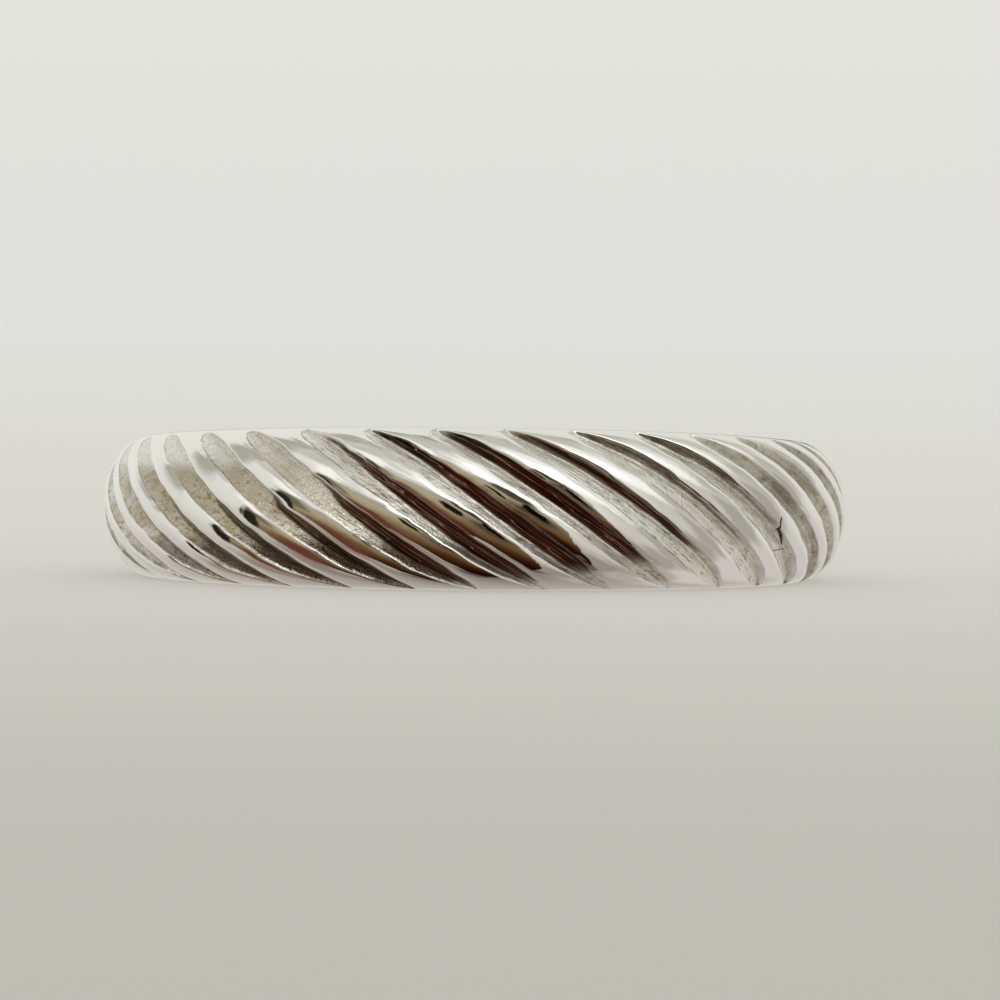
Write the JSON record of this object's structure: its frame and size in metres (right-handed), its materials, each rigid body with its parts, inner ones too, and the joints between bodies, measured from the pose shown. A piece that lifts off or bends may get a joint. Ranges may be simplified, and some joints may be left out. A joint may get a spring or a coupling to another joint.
{
  "type": "rope twist ring",
  "caption": "One-piece polished silver finger ring whose domed band is cut all round with slanted grooves, so that it looks twisted like rope.",
  "frame": {"origin": "centre of the finger hole in the plane of the lower rim, on which the ring lies", "axes": "+Z along the finger hole, up from the lower rim; -Y is the side that the picture shows, with +X to its right"},
  "size_m": [0.0208, 0.0208, 0.0038],
  "materials": {
    "silver": "polished sterling silver, with a rough cast skin left in the grooves"
  },
  "bodies": {
    "root": {"rope_band": "silver"}
  },
  "joints": []
}
